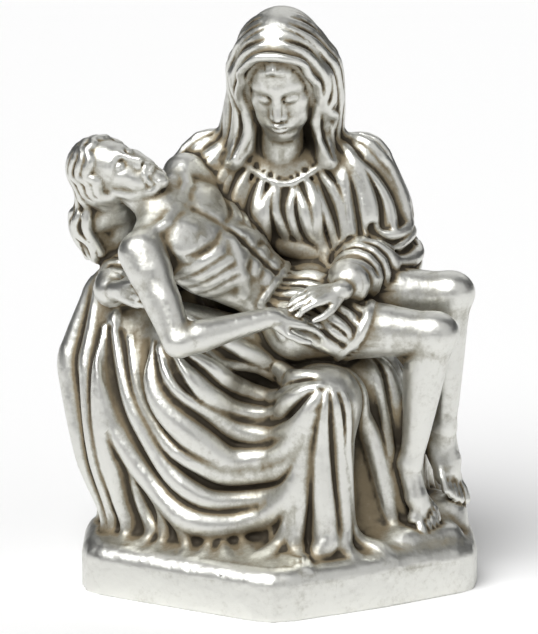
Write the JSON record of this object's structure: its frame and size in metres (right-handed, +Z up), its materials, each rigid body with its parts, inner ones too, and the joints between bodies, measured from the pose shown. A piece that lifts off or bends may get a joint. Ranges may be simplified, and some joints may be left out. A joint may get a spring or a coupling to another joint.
{
  "type": "pieta statue",
  "caption": "Tabletop pieta statuette in antique silver finish: a seated, veiled mother holds her dead son across her lap, cast in one with a low pointed plinth.",
  "frame": {"origin": "on the plinth's flat underside, midway between its left and right ends", "axes": "+Z up, the front of the statue and the point of the plinth face -Y, +X to the viewer's right"},
  "size_m": [0.1854, 0.1339, 0.2539],
  "materials": {
    "antique_silver": "satin silver plating over cast resin, with dark brown patina left in the hollows"
  },
  "bodies": {
    "root": {"pieta_statue": "antique_silver"}
  },
  "joints": []
}
